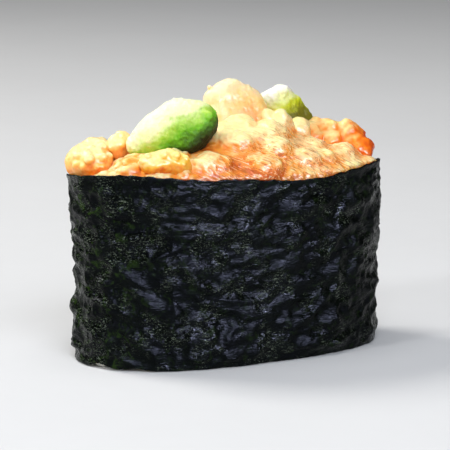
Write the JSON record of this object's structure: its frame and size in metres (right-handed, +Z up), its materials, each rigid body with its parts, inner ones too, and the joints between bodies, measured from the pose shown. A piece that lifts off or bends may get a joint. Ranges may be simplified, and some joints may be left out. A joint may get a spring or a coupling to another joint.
{
  "type": "gunkan sushi",
  "caption": "Gunkan sushi: an upright band of nori round packed rice, heaped with chopped seafood, with larger seafood pieces and avocado on top.",
  "frame": {"origin": "middle of the footprint, on the surface that the sushi stands on", "axes": "+Z up, +X along the length towards the end with the orange seafood piece, +Y towards the back, where the strip of nori laps over itself"},
  "size_m": [0.0578, 0.0312, 0.0469],
  "materials": {
    "nori": "dry crinkled seaweed with a silky sheen",
    "rice": "soft moist cooked grains",
    "seafood": "wet and soft, orange with cream and yellow",
    "seafood_pale": "wet and soft, pale yellow to pink, lets light in",
    "avocado": "buttery, cream inside and green at the edge"
  },
  "bodies": {
    "root": {"nori_band": "nori", "rice_bed": "rice", "seafood_heap": "seafood", "seafood_piece_peak": "seafood_pale", "avocado_front": "avocado", "avocado_back": "avocado", "seafood_piece_left": "seafood_pale", "seafood_piece_left_inner": "seafood_pale", "seafood_piece_front": "seafood_pale", "seafood_piece_right": "seafood"}
  },
  "joints": []
}
